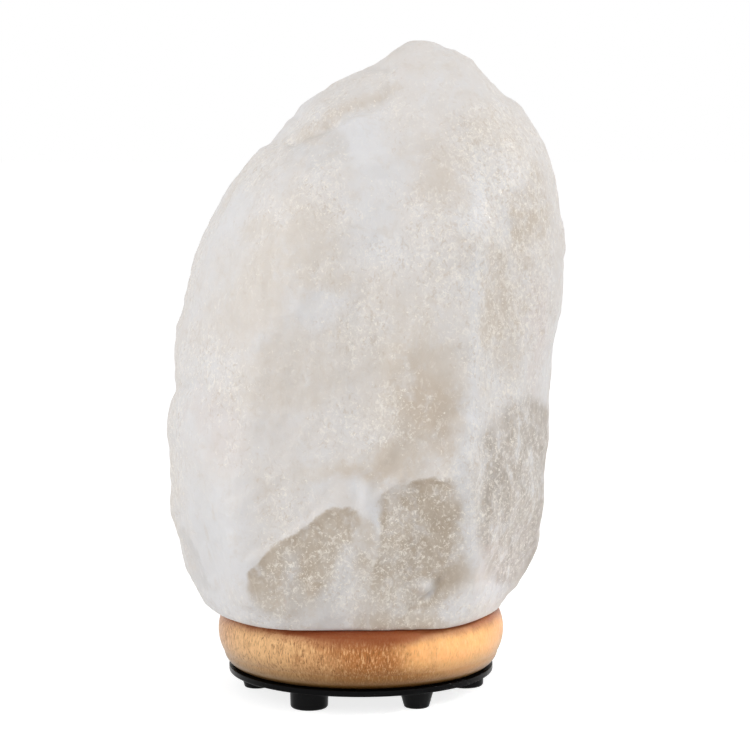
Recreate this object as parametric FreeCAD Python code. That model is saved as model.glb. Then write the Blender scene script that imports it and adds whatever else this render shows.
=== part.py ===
import FreeCAD, Part
import math
import os

# A rock salt table lamp: a hewn block of salt, drilled from below, stands on a turned wooden base with
# a black footed plate. A small lampholder on sprung wings pulls out downwards through the base.
# Millimetres, +Z up. The origin is on the table, under the axis of the base. -Y is the front.

# ---- Driving dimensions -------------------------------------------------------------------------

# Feet and plate
foot_height = 7.3
foot_circle_radius = 40.0
foot_pairs = 3
first_foot_azimuth = -118.5  # degrees from +X: the straight foot at the front left
straight_foot_radius = 7.2
straight_foot_draft = 0.2
straight_foot_edge = 1.2
foot_recess_radius = 4.3
foot_recess_depth = 4.0
tapered_foot_top_radius = 6.65
tapered_foot_bottom_radius = 4.6
tapered_foot_edge = 0.8
foot_stem_radius = 3.0
foot_stem_depth = 3.0  # into the wood
plate_radius = 50.5
plate_thickness = 2.2
plate_edge = 0.5

# Wooden base
wood_radius = 54.5
wood_thickness = 22.5
wood_foot_radius = 46.3
wood_shoulder_radius = 49.6  # of the flat top
wood_belly_height = 14.6  # of the widest point
wood_lower_edge = 6.0  # height of the lower round edge
wood_upper_edge = 2.4  # height of the upper one
wood_belly_bulge = 0.25  # share of the edges' overhang that the side's belly adds
foot_round_place = (0.42, 0.23)  # where the lower edge's arc passes, out and up, as shares of it
shoulder_round_place = (0.55, 0.25)  # the same for the upper edge, out and down
hole_radius = 20.0  # for the lampholder, through plate and wood

# Rock salt: height above its sawn foot, then the left, right, front and back of the outline there
salt_body = [
    (0.0, -57.0, 53.5, -51.5, 50.0),
    (9.0, -64.8, 59.8, -58.0, 57.0),
    (25.0, -69.8, 67.3, -62.5, 62.0),
    (45.0, -73.2, 69.8, -64.5, 64.0),
    (64.0, -73.5, 70.8, -64.0, 64.5),
    (83.0, -71.2, 71.6, -62.5, 64.0),
]
# The crown, with depths under the top instead
salt_height = 214.6
salt_crown = [
    (90.6, -65.2, 76.2, -58.0, 62.0),
    (56.6, -51.0, 74.2, -47.5, 56.0),
    (37.6, -36.0, 68.8, -38.0, 48.5),
    (22.6, -19.4, 57.6, -27.5, 38.0),
    (10.6, 0.6, 44.6, -16.5, 24.0),
    (3.6, 12.0, 33.6, -8.0, 12.5),
    (0.0, 17.5, 28.0, -4.0, 5.5),
]
salt_squareness = 2.35  # 2 is a rounded outline, more is a squarer one
salt_ridges = [1.0, 0.985, 1.02, 0.97, 1.0, 0.985, 1.0, 0.975, 1.02, 0.965, 1.03, 0.96]  # every 30 degrees
salt_middle_height = 105.0  # above the sawn foot, where the facets' distances are taken from
salt_facets = [  # azimuth and elevation of the hewn face in degrees, and its distance from the middle
    (-94.0, 0.0, 58.4),
    (-45.0, 3.0, 66.0),
    (-133.0, 5.0, 66.0),
    (-112.0, 33.0, 69.0),
    (-68.0, 27.0, 72.5),
    (-82.0, -15.0, 76.0),
    (-150.0, -14.0, 83.0),
    (-25.0, -16.0, 81.5),
    (-35.0, 34.0, 90.0),
    (160.0, 36.0, 71.2),
    (84.0, -4.0, 59.0),
    (52.0, 2.0, 66.0),
    (128.0, 6.0, 64.0),
    (108.0, 30.0, 74.5),
    (62.0, 40.0, 92.5),
    (150.0, -12.0, 80.0),
    (30.0, -12.0, 77.5),
    (100.0, -20.0, 80.0),
]
cut_size = 300.0  # of the block of space outside a face, wider than the salt
bore_radius = 22.0
bore_depth = 98.0
bore_end_chamfer = 3.0  # that the worn edge of the core drill leaves round the flat end

# Fasteners of the base
plate_screw_radius = 1.75
plate_screw_length = 16.0
plate_screw_head_radius = 3.6
plate_screw_head_height = 2.2
washer_radius = 4.0
washer_thickness = 0.8
salt_screw_radius = 2.0
salt_screw_length = 38.0
salt_screw_head_radius = 4.0
salt_screw_head_height = 2.8
salt_screw_circle_radius = 33.0
salt_screw_recess = 5.0
plug_radius = 3.2
plug_length = 25.0
fastener_clearance = 0.3
recess_slot_width = 1.0
head_edge_share = 0.4  # of a screw head's height
recess_share = 0.55  # of a screw head's height
screw_tip_share = 0.2  # of the shank's radius, at the very end

# Lampholder
holder_bottom = 9.6  # above the table
inlet_radius = 3.4
nipple_radius = 5.0
nipple_length = 3.8
nut_thickness = 2.2
nut_across_flats = 14.0
strip_thickness = 1.0
strip_width = 6.0
strip_seat_radius = 8.5  # of the round middle that the nut clamps
holder_radius = 13.5
holder_mouth_radius = 12.8
holder_wall = 1.8
cap_height = 12.0
cap_floor = 2.4
cap_flutes = 18
flute_radius = 0.9
spigot_length = 4.0
spigot_clearance = 0.1
contact_floor_height = 19.0  # of its upper face above the cap's underside
contact_floor_thickness = 3.0
shell_top_height = 42.6  # above the cap's underside
mouth_radius = 10.4
mouth_depth = 8.0
mouth_chamfer = (0.8, 1.0)  # inwards and down, round the mouth's outside
sleeve_lead_in = 2.0  # height of the cone from the mouth down to the sleeve
shell_collar_height = 3.0
cap_edge = 1.5
flute_end_gap = 1.2  # under the cap's rim
flute_axis_gap = 0.36  # of a flute's axis outside the cap

# Screw thread, as rings with a running clearance
thread_pitch = 2.82
thread_turns = 5
thread_start = 1.2  # of the sleeve's first crest above its flange
sleeve_steps = (0.15, 0.35, 0.6, 0.9)  # crest from and to, then root from and to, as shares of a pitch
cap_steps = (0.3, 0.6, 0.9)  # root, then crest from and to
cap_skirt_gap = 0.3
sleeve_crest_radius = 6.55
thread_depth = 0.5
sheet_thickness = 0.35
thread_clearance = 0.1
sleeve_flange_inner_radius = 4.5
sleeve_height = 17.0

# Contacts and terminals
tongue_width = 3.5
tongue_thickness = 0.6
tongue_reach = 3.8  # of the sprung tongue above its foot
tongue_foot_end = -3.9  # X of the foot's free end
tongue_fold_x = 3.7  # of the fold's outer face
tongue_fold_chamfer = 0.95
tongue_knee_height = 1.7  # where the fold turns back inwards
tongue_slope_end = 1.2  # X where the slope back up reaches the top
tongue_end = -2.0  # X of its free end, over the bulb's tip
rivet_radius = 0.8
rivet_head_radius = 1.15
rivet_head_height = 0.5
centre_rivet_x = -2.6
sleeve_rivet_x = 5.75
terminal_length = 6.0
terminal_width = 5.0
terminal_height = 6.0
terminal_x = 4.6
lead_hole_radius = 1.3
terminal_screw_radius = 1.1
terminal_screw_head_radius = 1.9
terminal_screw_head_height = 1.2
terminal_screw_bite = 0.5  # of its end into the lead's hole
terminal_screw_drop = 3.6  # of its axis under the terminal's top
terminal_slot = 0.6  # wide and deep
lead_hole_end = 1.2  # of solid metal above the lead's hole
contact_gap = 0.3

# Sprung wings
wire_radius = 0.75
eye_radius = 1.9
eye_clearance = 0.1
eye_height = 3.6  # of the pivot above the strip
eye_gap = 0.7  # from the cap's side to the eye
wing_half_width = 5.0
wing_height = 10.0  # from the pivot to where the wing meets the hole's wall
wing_tip_height = 12.5
wing_tip_inset = 0.8
wing_bend = 1.8
stub_gap = 1.5
wall_gap = 0.3

# Bulb
bulb_length = 57.0
bulb_radius = 13.0
glass_wall = 0.7
glass_neck_radius = 5.5
contact_tip_radius = 2.2
contact_tip_height = 1.5
insulator_height = 2.6
insulator_step = (1.2, 0.5)  # outwards and up, from the solder's edge
cap_thread_height = 12.5
cap_skirt_height = 5.0
glass_seat = 5.0  # of the neck inside the cap's skirt
stem_radius = 2.1
stem_height = 19.0
stem_seat_height = 0.8  # of the flare's rim inside the neck
stem_flare = (0.6, 3.0)  # the flare's waist: outside the pillar, and above the neck's bottom
stem_flare_top = 6.0  # where the flare has become the pillar
stem_top_chamfer = (0.5, 1.2)  # inwards and down
lead_radius = 0.3
lead_spacing = 0.9
lead_rise = 27.0
lead_start = 1.5  # above the insulator
lead_bend_height = 1.0  # above the stem
wire_bend = 1.5  # of the leads and the filament
filament_span = 6.0
filament_rise = 3.5
filament_flat = 2.4  # half of its level middle
filament_radius = 0.2

# ---- Heights that follow ------------------------------------------------------------------------

plate_top = foot_height + plate_thickness
wood_top = plate_top + wood_thickness
salt_foot = wood_top
strip_bottom = holder_bottom + nipple_length - strip_thickness
cap_bottom = strip_bottom + strip_thickness
cap_top = cap_bottom + cap_height
contact_floor = cap_bottom + contact_floor_height
shell_top = cap_bottom + shell_top_height
tongue_top = contact_floor + tongue_reach
bulb_bottom = tongue_top + contact_gap
insulator_bottom = bulb_bottom + contact_tip_height
bulb_cap_bottom = insulator_bottom + insulator_height
skirt_bottom = bulb_cap_bottom + cap_thread_height
bulb_cap_top = skirt_bottom + cap_skirt_height
neck_bottom = bulb_cap_top - glass_seat
bulb_top = bulb_bottom + bulb_length
pivot_height = strip_bottom + strip_thickness + eye_height
up = FreeCAD.Vector(0, 0, 1)


# ---- Helpers ------------------------------------------------------------------------------------

def vec(x, y, z):
    return FreeCAD.Vector(x, y, z)


def around(radius, azimuth, height):
    """A point at a radius and an azimuth in degrees."""
    angle = math.radians(azimuth)
    return vec(radius * math.cos(angle), radius * math.sin(angle), height)


def cylinder(radius, bottom, top, centre=(0.0, 0.0)):
    return Part.makeCylinder(radius, top - bottom, vec(centre[0], centre[1], bottom))


def revolve(outline):
    """A solid of revolution from radius and height pairs, or from a wire in the XZ plane."""
    wire = outline
    if isinstance(outline, list):
        points = [vec(radius, 0, height) for radius, height in outline]
        wire = Part.makePolygon(points + points[:1])
    return Part.Face(wire).revolve(vec(0, 0, 0), up, 360)


def prism(outline, width):
    """A strip of a given width, centred on Y, from its X and Z outline."""
    points = [vec(x, -width / 2, z) for x, z in outline]
    return Part.Face(Part.makePolygon(points + points[:1])).extrude(vec(0, width, 0))


def at(shape, point):
    moved = shape.copy()
    moved.translate(point)
    return moved


def rounded_path(corners, bend):
    """Straight runs from corner to corner, joined by tangent arcs of one radius."""
    edges = []
    start = corners[0]
    for before, corner, after in zip(corners, corners[1:], corners[2:]):
        into = (corner - before).normalize()
        out = (after - corner).normalize()
        half_turn = into.getAngle(out) / 2
        first = corner - into * (bend * math.tan(half_turn))
        last = corner + out * (bend * math.tan(half_turn))
        inward = (out - into).normalize()
        middle = corner + inward * (bend / math.cos(half_turn) - bend)
        edges.append(Part.LineSegment(start, first).toShape())
        edges.append(Part.Arc(first, middle, last).toShape())
        start = last
    edges.append(Part.LineSegment(start, corners[-1]).toShape())
    return Part.Wire(edges)


def round_wire(corners, radius, bend):
    """A bent round wire along a path."""
    path = rounded_path(corners, bend)
    section = Part.Wire(Part.makeCircle(radius, corners[0], corners[1] - corners[0]))
    return path.makePipeShell([section], True, True)


def level_edges(shape, height):
    """The circular edges that lie at one height."""
    boxes = [(edge, edge.BoundBox) for edge in shape.Edges]
    return [edge for edge, box in boxes if abs(box.ZMin - height) < 1e-6 and box.ZLength < 1e-6]


def rounded(shape, height, radius):
    return shape.makeFillet(radius, level_edges(shape, height))


def cross_slots(head_radius, bottom, depth):
    """The cutter for a screw head's cross, open downwards."""
    size = head_radius * 1.2
    slot = Part.makeBox(size, recess_slot_width, depth, vec(-size / 2, -recess_slot_width / 2, bottom))
    return slot.fuse(slot.rotated(vec(0, 0, 0), up, 90))


def wood_screw(radius, length, head_radius, head_height, head_top):
    """An upward screw with a pan head, a cross and a pointed tip; head_top is the head's seat."""
    tip = 2 * radius
    shank = cylinder(radius, head_top, head_top + length - tip)
    point = Part.makeCone(radius, screw_tip_share * radius, tip, vec(0, 0, head_top + length - tip))
    head = cylinder(head_radius, head_top - head_height, head_top)
    head = rounded(head, head_top - head_height, head_edge_share * head_height)
    cross = cross_slots(head_radius, head_top - head_height, recess_share * head_height)
    return head.cut(cross).fuse([shank, point]).removeSplitter()


def screw_hole(radius, length, bottom):
    """The hole that such a screw fills, with its pointed end."""
    tip = 2 * radius
    point = Part.makeCone(radius, screw_tip_share * radius, tip, vec(0, 0, bottom + length - tip))
    return cylinder(radius, bottom, bottom + length - tip).fuse(point)


def foot_azimuths(tapered):
    step = 360.0 / foot_pairs
    first = first_foot_azimuth + (step / 2 if tapered else 0)
    return [first + step * number for number in range(foot_pairs)]


def salt_screw_azimuths():
    """Half way between each straight foot and the tapered foot after it."""
    return [azimuth + 90.0 / foot_pairs for azimuth in foot_azimuths(False)]


def patterned(shape, radius, azimuths):
    return [at(shape, around(radius, azimuth, 0)) for azimuth in azimuths]


# ---- The salt -----------------------------------------------------------------------------------

def salt_outline(height, left, right, front, back):
    """A closed curve at one height: a squarish ring whose ridges and flats run up the block."""
    points = []
    for number, ridge in enumerate(salt_ridges):
        angle = 2 * math.pi * number / len(salt_ridges)
        cosine, sine = math.cos(angle), math.sin(angle)
        centre_x, centre_y = (left + right) / 2, (front + back) / 2
        half_x, half_y = (right - left) / 2, (back - front) / 2
        spread = (abs(cosine) ** salt_squareness + abs(sine) ** salt_squareness) ** (-1 / salt_squareness)
        reach = spread * ridge
        points.append(vec(centre_x + half_x * reach * cosine, centre_y + half_y * reach * sine,
                          salt_foot + height))
    curve = Part.BSplineCurve()
    curve.interpolate(Points=points, PeriodicFlag=True)
    return Part.Wire(curve.toShape())


def hewn_cut(azimuth, elevation, distance):
    """The block of space outside one hewn face."""
    direction = around(math.cos(math.radians(elevation)), azimuth, math.sin(math.radians(elevation)))
    outside = Part.makeBox(cut_size, cut_size, cut_size, vec(-cut_size / 2, -cut_size / 2, 0))
    outside.Placement = FreeCAD.Placement(
        vec(0, 0, salt_foot + salt_middle_height) + direction * distance,
        FreeCAD.Rotation(up, direction))
    return outside


def drilled_bore():
    """What the core drill takes out, up to its flat end."""
    end = salt_foot + bore_depth
    drill = cylinder(bore_radius, salt_foot, end)
    return drill.makeChamfer(bore_end_chamfer, level_edges(drill, end))


def salt_crystal():
    stations = salt_body + [(salt_height - depth, *sides) for depth, *sides in salt_crown]
    block = Part.makeLoft([salt_outline(*station) for station in stations], True, False)
    for facet in salt_facets:
        block = block.cut(hewn_cut(*facet))
    plugs = cylinder(plug_radius, salt_foot, salt_foot + plug_length)
    holes = patterned(plugs, salt_screw_circle_radius, salt_screw_azimuths())
    return block.cut([drilled_bore()] + holes)


# ---- The base -----------------------------------------------------------------------------------

def wood_profile():
    """Half the turned section: a round lower edge, a bellied side and a round upper edge."""
    low_radius = wood_radius - wood_belly_bulge * (wood_radius - wood_foot_radius)
    high_radius = wood_radius - wood_belly_bulge * (wood_radius - wood_shoulder_radius)
    foot = vec(wood_foot_radius, 0, plate_top)
    out, rise = foot_round_place
    foot_round = vec(wood_foot_radius + out * (wood_radius - wood_foot_radius), 0,
                     plate_top + rise * wood_lower_edge)
    low = vec(low_radius, 0, plate_top + wood_lower_edge)
    belly = vec(wood_radius, 0, plate_top + wood_belly_height)
    high = vec(high_radius, 0, wood_top - wood_upper_edge)
    out, drop = shoulder_round_place
    shoulder_round = vec(wood_shoulder_radius + out * (high_radius - wood_shoulder_radius), 0,
                         wood_top - drop * wood_upper_edge)
    shoulder = vec(wood_shoulder_radius, 0, wood_top)
    inner_low = vec(hole_radius, 0, plate_top)
    inner_top = vec(hole_radius, 0, wood_top)
    return Part.Wire([
        Part.LineSegment(inner_low, foot).toShape(),
        Part.Arc(foot, foot_round, low).toShape(),
        Part.Arc(low, belly, high).toShape(),
        Part.Arc(high, shoulder_round, shoulder).toShape(),
        Part.LineSegment(shoulder, inner_top).toShape(),
        Part.LineSegment(inner_top, inner_low).toShape(),
    ])


def wood_base():
    turned = revolve(wood_profile())
    salt_way = cylinder(salt_screw_radius + fastener_clearance, plate_top, wood_top).fuse(
        cylinder(salt_screw_head_radius + fastener_clearance, plate_top, plate_top + salt_screw_recess))
    seat = foot_recess_depth - washer_thickness
    pilot = screw_hole(plate_screw_radius, seat + plate_screw_length - plate_top, plate_top)
    stem = cylinder(foot_stem_radius, plate_top, plate_top + foot_stem_depth)
    cutters = patterned(salt_way, salt_screw_circle_radius, salt_screw_azimuths())
    cutters += patterned(pilot, foot_circle_radius, foot_azimuths(False))
    cutters += patterned(stem, foot_circle_radius, foot_azimuths(True))
    return turned.cut(cutters)


def base_plate():
    disc = cylinder(plate_radius, foot_height, plate_top)
    disc = rounded(disc, foot_height, plate_edge)
    screw_way = cylinder(plate_screw_radius + fastener_clearance, foot_height, plate_top)
    stem_way = cylinder(foot_stem_radius, foot_height, plate_top)
    cutters = [cylinder(hole_radius, foot_height, plate_top)]
    cutters += patterned(screw_way, foot_circle_radius, foot_azimuths(False))
    cutters += patterned(stem_way, foot_circle_radius, foot_azimuths(True))
    return disc.cut(cutters)


def straight_feet():
    foot = Part.makeCone(straight_foot_radius - straight_foot_draft, straight_foot_radius, foot_height)
    foot = rounded(foot, 0, straight_foot_edge)
    foot = foot.cut([
        cylinder(foot_recess_radius, 0, foot_recess_depth),
        cylinder(plate_screw_radius + fastener_clearance, 0, foot_height)])
    return patterned(foot, foot_circle_radius, foot_azimuths(False))


def tapered_feet():
    foot = Part.makeCone(tapered_foot_bottom_radius, tapered_foot_top_radius, foot_height)
    foot = rounded(foot, 0, tapered_foot_edge)
    foot = foot.fuse(cylinder(foot_stem_radius, foot_height, plate_top + foot_stem_depth))
    return patterned(foot, foot_circle_radius, foot_azimuths(True))


def foot_washers():
    bottom = foot_recess_depth - washer_thickness
    ring = cylinder(washer_radius, bottom, foot_recess_depth).cut(
        cylinder(plate_screw_radius + fastener_clearance, bottom, foot_recess_depth))
    return patterned(ring, foot_circle_radius, foot_azimuths(False))


def plate_screws():
    screw = wood_screw(plate_screw_radius, plate_screw_length, plate_screw_head_radius,
                       plate_screw_head_height, foot_recess_depth - washer_thickness)
    return patterned(screw, foot_circle_radius, foot_azimuths(False))


def salt_screws():
    screw = wood_screw(salt_screw_radius, salt_screw_length, salt_screw_head_radius,
                       salt_screw_head_height, plate_top + salt_screw_recess)
    return patterned(screw, salt_screw_circle_radius, salt_screw_azimuths())


def salt_plugs():
    seat = plate_top + salt_screw_recess
    plug = cylinder(plug_radius, salt_foot, salt_foot + plug_length).cut(
        screw_hole(salt_screw_radius, seat + salt_screw_length - salt_foot, salt_foot))
    return patterned(plug, salt_screw_circle_radius, salt_screw_azimuths())


# ---- The lampholder -----------------------------------------------------------------------------

def holder_cap():
    """A fluted cup that closes the lampholder from below, with a threaded nipple for the cord."""
    cup = cylinder(holder_radius, cap_bottom, cap_top)
    cup = rounded(cup, cap_bottom, cap_edge)
    cup = cup.cut(cylinder(holder_radius - holder_wall, cap_bottom + cap_floor, cap_top))
    flute = cylinder(flute_radius, cap_bottom + cap_floor, cap_top - flute_end_gap)
    azimuths = [360.0 * number / cap_flutes for number in range(cap_flutes)]
    cup = cup.cut(patterned(flute, holder_radius + flute_axis_gap, azimuths))
    cup = cup.fuse(cylinder(nipple_radius, holder_bottom, cap_bottom))
    return cup.cut(cylinder(inlet_radius, holder_bottom, cap_bottom + cap_floor))


def holder_nut():
    bottom = strip_bottom - nut_thickness
    corner_radius = nut_across_flats / 2 / math.cos(math.pi / 6)
    corners = [around(corner_radius, 60.0 * number, bottom) for number in range(7)]
    blank = Part.Face(Part.makePolygon(corners)).extrude(vec(0, 0, nut_thickness))
    return blank.cut(cylinder(nipple_radius, bottom, strip_bottom))


def holder_shell():
    """The upper moulding: a spigot for the cap, a floor for the contacts and a wide mouth."""
    spigot = holder_radius - holder_wall - spigot_clearance
    floor_bottom = contact_floor - contact_floor_thickness
    well_radius = sleeve_crest_radius + thread_depth + sheet_thickness + spigot_clearance
    inner = spigot - holder_wall
    chamfer_in, chamfer_down = mouth_chamfer
    shell = revolve([
        (0, floor_bottom), (inner, floor_bottom), (inner, cap_top - spigot_length),
        (spigot, cap_top - spigot_length), (spigot, cap_top), (holder_radius, cap_top),
        (holder_radius, cap_top + shell_collar_height), (holder_mouth_radius, shell_top - chamfer_down),
        (holder_mouth_radius - chamfer_in, shell_top), (mouth_radius, shell_top),
        (mouth_radius, shell_top - mouth_depth), (well_radius, shell_top - mouth_depth - sleeve_lead_in),
        (well_radius, contact_floor), (0, contact_floor)])
    rivets = [cylinder(rivet_radius, floor_bottom, contact_floor, (x, 0))
              for x in (centre_rivet_x, sleeve_rivet_x)]
    return shell.cut(rivets)


def thread_profile(crest_radius, bottom):
    """Half-pitch steps of a rolled thread: crests at one radius, roots a thread depth away."""
    points = []
    for turn in range(thread_turns):
        steps = [bottom + (turn + step) * thread_pitch for step in sleeve_steps]
        radii = [crest_radius] * 2 + [crest_radius + thread_depth] * 2
        points += zip(radii, steps)
    return points


def thickened(points):
    """A sheet outline: the inside points upwards, then the same points outwards by the sheet."""
    outside = [(radius + sheet_thickness, height) for radius, height in reversed(points)]
    return points + outside


def thread_sleeve():
    bottom = contact_floor + sheet_thickness
    straight = sleeve_crest_radius + thread_depth
    inside = [(straight, bottom)] + thread_profile(sleeve_crest_radius, bottom + thread_start)
    inside.append((straight, contact_floor + sleeve_height))
    wall = revolve(thickened(inside))
    flange = revolve([
        (sleeve_flange_inner_radius, contact_floor), (straight + sheet_thickness, contact_floor),
        (straight + sheet_thickness, bottom), (sleeve_flange_inner_radius, bottom)])
    sleeve = wall.fuse(flange).removeSplitter()
    return sleeve.cut(cylinder(rivet_radius, contact_floor, bottom, (sleeve_rivet_x, 0)))


def centre_contact():
    """A sprung tongue, folded back over its riveted foot."""
    thick = tongue_thickness
    floor, top = contact_floor, tongue_top
    inner_x = tongue_fold_x - thick
    tongue = prism([
        (tongue_foot_end, floor), (tongue_fold_x - tongue_fold_chamfer, floor),
        (tongue_fold_x, floor + tongue_fold_chamfer), (tongue_fold_x, floor + tongue_knee_height),
        (tongue_slope_end, top), (tongue_end, top), (tongue_end, top - thick),
        (tongue_slope_end - thick / 2, top - thick), (inner_x, floor + tongue_knee_height - thick / 4),
        (inner_x, floor + thick * 2), (inner_x - thick, floor + thick), (tongue_foot_end, floor + thick),
    ], tongue_width)
    return tongue.cut(cylinder(rivet_radius, floor, floor + thick, (centre_rivet_x, 0)))


def contact_rivets():
    """One holds the tongue and one the sleeve; both run down to the terminals."""
    rivets = []
    for x, seat in ((centre_rivet_x, tongue_thickness), (sleeve_rivet_x, sheet_thickness)):
        head_bottom = contact_floor + seat
        shank = cylinder(rivet_radius, contact_floor - contact_floor_thickness, head_bottom, (x, 0))
        head = cylinder(rivet_head_radius, head_bottom, head_bottom + rivet_head_height, (x, 0))
        rivets.append(shank.fuse(head).removeSplitter())
    return rivets


def terminal_screw(side):
    """A slotted screw that enters a terminal from its outer face and ends inside the lead's hole."""
    height = contact_floor - contact_floor_thickness - terminal_screw_drop
    face = terminal_x + terminal_length / 2
    depth = face - terminal_x - lead_hole_radius + terminal_screw_bite
    axis = vec(1, 0, 0)
    shank = Part.makeCylinder(terminal_screw_radius, depth, vec(face - depth, 0, height), axis)
    head = Part.makeCylinder(terminal_screw_head_radius, terminal_screw_head_height,
                             vec(face, 0, height), axis)
    slot = Part.makeBox(terminal_slot, 2 * terminal_screw_head_radius, terminal_slot,
                        vec(face + terminal_screw_head_height - terminal_slot,
                            -terminal_screw_head_radius, height - terminal_slot / 2))
    screw = shank.fuse(head).cut(slot)
    return screw if side > 0 else screw.rotated(vec(0, 0, 0), up, 180)


def terminals():
    top = contact_floor - contact_floor_thickness
    blocks = []
    for side in (-1, 1):
        block = Part.makeBox(terminal_length, terminal_width, terminal_height,
                             vec(side * terminal_x - terminal_length / 2, -terminal_width / 2,
                                 top - terminal_height))
        lead_hole = cylinder(lead_hole_radius, top - terminal_height, top - lead_hole_end,
                             (side * terminal_x, 0))
        blocks.append(block.cut([lead_hole, terminal_screw(side)]))
    return blocks


def terminal_screws():
    return [terminal_screw(side) for side in (-1, 1)]


# ---- The sprung wings ---------------------------------------------------------------------------

def pivot_x():
    """The eye sits just outside the cap."""
    return holder_radius + eye_radius + eye_gap


def clip_bracket():
    """A strip under the cap, turned up at both ends into rolled eyes."""
    reach = pivot_x() - eye_radius
    strip = prism([
        (-reach - strip_thickness, strip_bottom), (reach + strip_thickness, strip_bottom),
        (reach + strip_thickness, pivot_height), (reach, pivot_height),
        (reach, strip_bottom + strip_thickness), (-reach, strip_bottom + strip_thickness),
        (-reach, pivot_height), (-reach - strip_thickness, pivot_height),
    ], strip_width)
    seat = cylinder(strip_seat_radius, strip_bottom, strip_bottom + strip_thickness)
    hole = cylinder(nipple_radius, strip_bottom, strip_bottom + strip_thickness)
    bracket = strip.fuse(seat).cut(hole)
    along = vec(0, 1, 0)
    for side in (-1, 1):
        start = vec(side * pivot_x(), -strip_width / 2, pivot_height)
        bracket = bracket.fuse(Part.makeCylinder(eye_radius, strip_width, start, along))
        bracket = bracket.cut(Part.makeCylinder(wire_radius + eye_clearance, strip_width, start, along))
    return bracket.removeSplitter()


def clip_wire(side):
    """One wing: two legs from the eye up to the hole's wall, joined by a bar that is bent inwards."""
    reach = math.sqrt((hole_radius - wall_gap - wire_radius) ** 2 - wing_half_width ** 2)
    half = [
        (pivot_x(), stub_gap, pivot_height),
        (pivot_x(), wing_half_width, pivot_height),
        (reach, wing_half_width, pivot_height + wing_height),
        (reach - wing_tip_inset, wing_half_width, pivot_height + wing_tip_height),
    ]
    corners = [vec(side * x, -y, z) for x, y, z in half]
    corners += [vec(side * x, y, z) for x, y, z in reversed(half)]
    return round_wire(corners, wire_radius, wing_bend)


# ---- The bulb -----------------------------------------------------------------------------------

def bulb_contact():
    dome = Part.makeSphere(contact_tip_radius, vec(0, 0, 0))
    dome = dome.common(cylinder(contact_tip_radius, -contact_tip_height, 0))
    return at(dome, vec(0, 0, insulator_bottom))


def bulb_insulator():
    step_out, step_up = insulator_step
    return revolve([
        (0, insulator_bottom), (contact_tip_radius, insulator_bottom),
        (contact_tip_radius + step_out, insulator_bottom + step_up),
        (cap_inner_radius(), bulb_cap_bottom), (0, bulb_cap_bottom)])


def cap_inner_radius():
    return sleeve_crest_radius - thread_clearance - thread_depth - sheet_thickness


def bulb_cap():
    """A rolled brass cap: the thread's rings, then a skirt that holds the glass."""
    crest = sleeve_crest_radius - thread_clearance
    root = crest - thread_depth
    inside = [(cap_inner_radius(), bulb_cap_bottom)]
    for turn in range(thread_turns - 1):
        steps = [bulb_cap_bottom + (turn + step) * thread_pitch for step in cap_steps]
        radii = [root - sheet_thickness] + [crest - sheet_thickness] * 2
        inside += zip(radii, steps)
    inside += [(root - sheet_thickness, skirt_bottom - cap_skirt_gap), (glass_neck_radius, neck_bottom),
               (glass_neck_radius, bulb_cap_top)]
    outside = [(radius + sheet_thickness, height) for radius, height in reversed(inside)]
    return revolve(inside + outside)


def envelope_edges(inset):
    """Half the glass from its neck to its top, drawn in by the wall for the inside: a cone, then a ball."""
    ball, neck = bulb_radius - inset, glass_neck_radius - inset
    centre = bulb_top - bulb_radius
    rise = centre - bulb_cap_top
    meeting = math.acos(ball / math.hypot(neck, rise)) - math.atan2(rise, neck)
    halfway = (meeting + math.pi / 2) / 2
    low = vec(neck, 0, bulb_cap_top)
    touch = vec(ball * math.cos(meeting), 0, centre + ball * math.sin(meeting))
    middle = vec(ball * math.cos(halfway), 0, centre + ball * math.sin(halfway))
    top = vec(0, 0, centre + ball)
    return [Part.LineSegment(low, touch).toShape(), Part.Arc(touch, middle, top).toShape()]


def bulb_glass():
    low_outer = vec(glass_neck_radius, 0, neck_bottom)
    low_inner = vec(glass_neck_radius - glass_wall, 0, neck_bottom)
    high_outer = vec(glass_neck_radius, 0, bulb_cap_top)
    high_inner = vec(glass_neck_radius - glass_wall, 0, bulb_cap_top)
    top_outer, top_inner = vec(0, 0, bulb_top), vec(0, 0, bulb_top - glass_wall)
    edges = [Part.LineSegment(low_outer, high_outer).toShape()] + envelope_edges(0.0)
    edges.append(Part.LineSegment(top_outer, top_inner).toShape())
    edges += reversed(envelope_edges(glass_wall))
    edges.append(Part.LineSegment(high_inner, low_inner).toShape())
    edges.append(Part.LineSegment(low_inner, low_outer).toShape())
    return revolve(Part.Wire(edges))


def bulb_leads():
    start = bulb_cap_bottom + lead_start
    spread = neck_bottom + stem_height + lead_bend_height
    top = neck_bottom + lead_rise
    return [round_wire([vec(side * lead_spacing, 0, start), vec(side * lead_spacing, 0, spread),
                        vec(side * filament_span, 0, top)], lead_radius, wire_bend)
            for side in (-1, 1)]


def bulb_stem():
    """The glass mount: a flare fused to the neck and a pillar that holds the leads."""
    seat_radius = glass_neck_radius - glass_wall
    flare_out, flare_height = stem_flare
    chamfer_in, chamfer_down = stem_top_chamfer
    stem_top = neck_bottom + stem_height
    pillar = revolve([
        (0, neck_bottom), (seat_radius, neck_bottom), (seat_radius, neck_bottom + stem_seat_height),
        (stem_radius + flare_out, neck_bottom + flare_height), (stem_radius, neck_bottom + stem_flare_top),
        (stem_radius, stem_top - chamfer_down), (stem_radius - chamfer_in, stem_top), (0, stem_top)])
    return pillar.cut(bulb_leads())


def bulb_filament():
    top = neck_bottom + lead_rise
    wire = round_wire([vec(-filament_span, 0, top), vec(-filament_flat, 0, top + filament_rise),
                       vec(filament_flat, 0, top + filament_rise), vec(filament_span, 0, top)],
                      filament_radius, wire_bend)
    return wire.cut(bulb_leads())


# ---- Output -------------------------------------------------------------------------------------

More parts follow.
